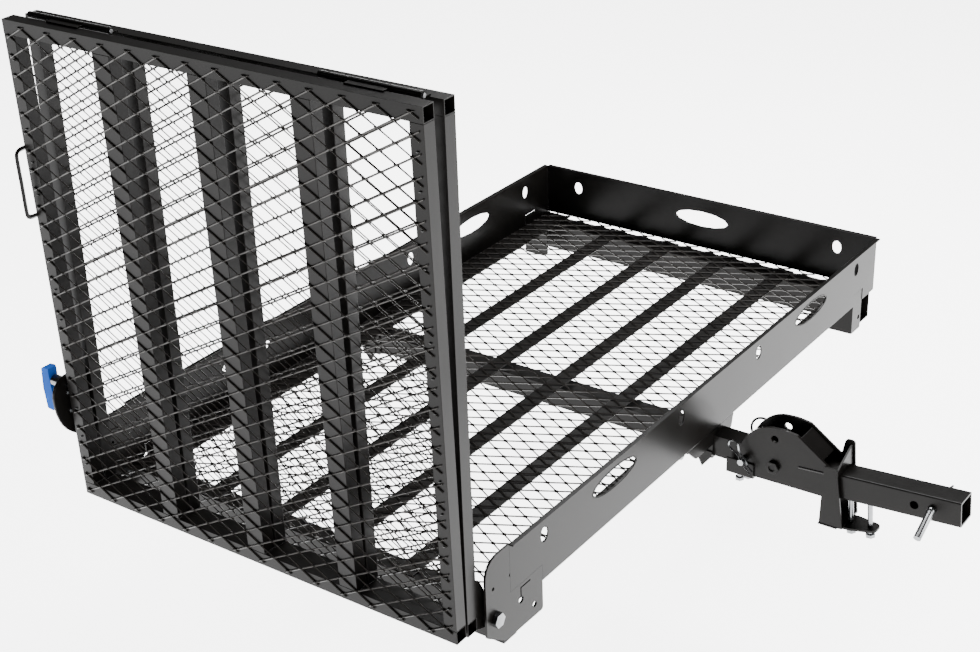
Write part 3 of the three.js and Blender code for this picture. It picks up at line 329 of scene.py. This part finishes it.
# ---- Zinc-plated pins, bolts and clips ------------------------------------------------------------------------
zinc = finish_nodes("zinc_plate", [(0.13, 0.135, 0.14), (0.27, 0.275, 0.28)], (0.18, 0.32), (400, 0.08), 1.0)
for name in ("hitch_pin", "hitch_pin_clip", "lock_pin", "lock_pin_clip", "jack_bolt_1", "jack_bolt_2", "clamp_bolt_1",
             "clamp_bolt_2", "ramp_pivot_bolt_vehicle_side", "ramp_pivot_bolt_free_side", "latch_housing", "latch_plunger"):
    dress(name, zinc, 0)
steel = finish_nodes("bare_steel", [(0.3, 0.3, 0.31), (0.42, 0.42, 0.43)], (0.3, 0.5), (500, 0.1), 1.0)
for name in ("ramp_hinge_pin_1", "ramp_hinge_pin_2", "latch_spring"):
    dress(name, steel, 0)

# ---- Bolts of the saddles and the latch ------------------------------------------------------------------------
# Small hexagon bolts with plain washers, zinc plated, screwed through the sheet from outside. Their heads
# are cold formed, so the hexagon's corners run off into a shallow dome.


def hexagon_bolt(name, seat, axis, flats, body):
    """A washer and a domed hexagon head standing off a seat along an axis."""
    bpy.ops.object.select_all(action="DESELECT")
    bpy.ops.mesh.primitive_cylinder_add(vertices=24, radius=flats * 0.72, depth=0.0014, location=(0, 0, 0.0007))
    washer = bpy.context.object
    bpy.ops.mesh.primitive_cylinder_add(vertices=6, radius=flats / math.sqrt(3), depth=flats * 0.45,
                                        location=(0, 0, 0.0014 + flats * 0.225))
    head = bpy.context.object
    washer.select_set(True)
    bpy.ops.object.join()
    head.name = name
    bpy.ops.object.transform_apply(location=True, rotation=True, scale=True)
    rounding = head.modifiers.new("rounding", "BEVEL")
    rounding.width = flats * 0.06
    rounding.segments = 2
    bpy.ops.object.modifier_apply(modifier="rounding")
    head.data.transform(Vector(axis).to_track_quat("Z", "Y").to_matrix().to_4x4())
    head.data.transform(Matrix.Translation(seat))
    head.data.materials.clear()
    head.data.materials.append(zinc)
    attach(head, body)


for side in SIDES:
    low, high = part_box(f"rail_{side}")
    saddle_low, saddle_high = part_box(f"saddle_{side}")
    x = high.x - 0.0175 if side == "vehicle_side" else low.x + 0.0175
    hexagon_bolt(f"saddle_bolt_{side}", (x, saddle_low.y - 0.0165, low.z), (0, 0, -1), 0.013, "tray")
low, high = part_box("latch_arm")
plunger_low, plunger_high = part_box("latch_plunger")
for number, below in ((1, 0.0085), (2, 0.0455)):
    height = (plunger_low.z + plunger_high.z) / 2 - below
    hexagon_bolt(f"latch_bolt_{number}", (high.x, (plunger_low.y + plunger_high.y) / 2, height - 0.006), (1, 0, 0), 0.009, "tray")

# ---- Rims of the grip slots --------------------------------------------------------------------------------------
# The long hand slots in the rails are pressed with a narrow raised lip, so that no cut edge meets the hand.

for side in SIDES:
    low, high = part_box(f"rail_{side}")
    face = high.x - 0.008 if side == "vehicle_side" else low.x + 0.008
    for end in (-1, 1):
        bpy.ops.object.select_all(action="DESELECT")
        bpy.ops.curve.primitive_bezier_circle_add(radius=1)
        rim = bpy.context.object
        rim.name = f"slot_rim_{side}_{'front' if end < 0 else 'rear'}"
        rim.data.transform(Matrix.Diagonal((0.074, 0.0205, 1, 1)))
        rim.data.bevel_depth = 0.0013
        rim.data.bevel_resolution = 2
        bpy.ops.object.convert(target="MESH")
        rim.data.transform(Matrix.Rotation(math.radians(90), 4, "X"))
        rim.data.transform(Matrix.Rotation(math.radians(90), 4, "Z"))
        rim.data.transform(Matrix.Translation((face, end * 0.5457 * high.y, low.z + 0.682 * (high.z - low.z - 0.003))))
        rim.data.materials.clear()
        rim.data.materials.append(powder_coat)
        bpy.ops.object.shade_smooth()
        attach(rim, "tray")

# ---- Blue T-handle --------------------------------------------------------------------------------------------
blue = finish_nodes("blue_grip", [(0.006, 0.06, 0.30), (0.010, 0.09, 0.38)], (0.55, 0.7), (600, 0.1), gloss=0.06)
dress("latch_handle", blue, 0.002)

# ---- Camera ---------------------------------------------------------------------------------------------------
lens = bpy.data.cameras.new("camera")
lens.sensor_width = 36
lens.lens = 62.86
lens.clip_start = 0.05
lens.clip_end = 200
camera = bpy.data.objects.new("camera", lens)
bpy.context.scene.collection.objects.link(camera)
turned = Matrix.Rotation(math.radians(36.114), 4, "Z") @ Matrix.Rotation(math.radians(63.502), 4, "X")
turned = turned @ Matrix.Rotation(math.radians(-2.006), 4, "Z")
camera.matrix_world = Matrix.Translation((0.90655, -2.61104, 1.71151)) @ turned
bpy.context.scene.camera = camera

# ---- Studio ---------------------------------------------------------------------------------------------------
# A wide pale floor under the object, an even white surround that is dimmer on the camera's side, and two
# large soft boxes: one over the hitch, one overhead.

bpy.ops.object.select_all(action="DESELECT")
bpy.ops.mesh.primitive_plane_add(size=60, location=(0, 0, -0.45))
floor = bpy.context.object
floor.name = "floor"
pale = bpy.data.materials.new("pale_floor")
pale.use_nodes = True
pale_shader = pale.node_tree.nodes["Principled BSDF"]
pale_shader.inputs["Base Color"].default_value = (0.9, 0.9, 0.9, 1)
pale_shader.inputs["Roughness"].default_value = 0.9
pale_shader.inputs["Specular IOR Level"].default_value = 0.0
pale_shader.inputs["Emission Color"].default_value = (1, 1, 1, 1)
pale_shader.inputs["Emission Strength"].default_value = 5.0
floor.data.materials.append(pale)

world = bpy.data.worlds.new("studio")
world.use_nodes = True
air = world.node_tree
towards = air.nodes.new("ShaderNodeTexCoord")
parts = air.nodes.new("ShaderNodeSeparateXYZ")
fade = air.nodes.new("ShaderNodeMapRange")
fade.inputs["From Min"].default_value = -0.75
fade.inputs["From Max"].default_value = 0.35
fade.inputs["To Min"].default_value = 0.15
fade.inputs["To Max"].default_value = 3.0
air.links.new(towards.outputs["Generated"], parts.inputs["Vector"])
air.links.new(parts.outputs["Y"], fade.inputs["Value"])
air.links.new(fade.outputs["Result"], air.nodes["Background"].inputs["Strength"])
bpy.context.scene.world = world


def soft_box(name, centre, aim, size, power):
    """A large rectangular lamp at one place, turned to face another."""
    lamp = bpy.data.lights.new(name, "AREA")
    lamp.shape = "RECTANGLE"
    lamp.size, lamp.size_y = size
    lamp.energy = power
    holder = bpy.data.objects.new(name, lamp)
    bpy.context.scene.collection.objects.link(holder)
    facing = (Vector(aim) - Vector(centre)).to_track_quat("-Z", "Y")
    holder.matrix_world = Matrix.Translation(centre) @ facing.to_matrix().to_4x4()


soft_box("key", (2.9, 0.4, 0.7), (-0.5, -0.7, 0.1), (1.6, 1.6), 85)
soft_box("overhead", (-0.9, 1.6, 3.0), (-0.9, 0.2, 0), (3.0, 2.4), 330)
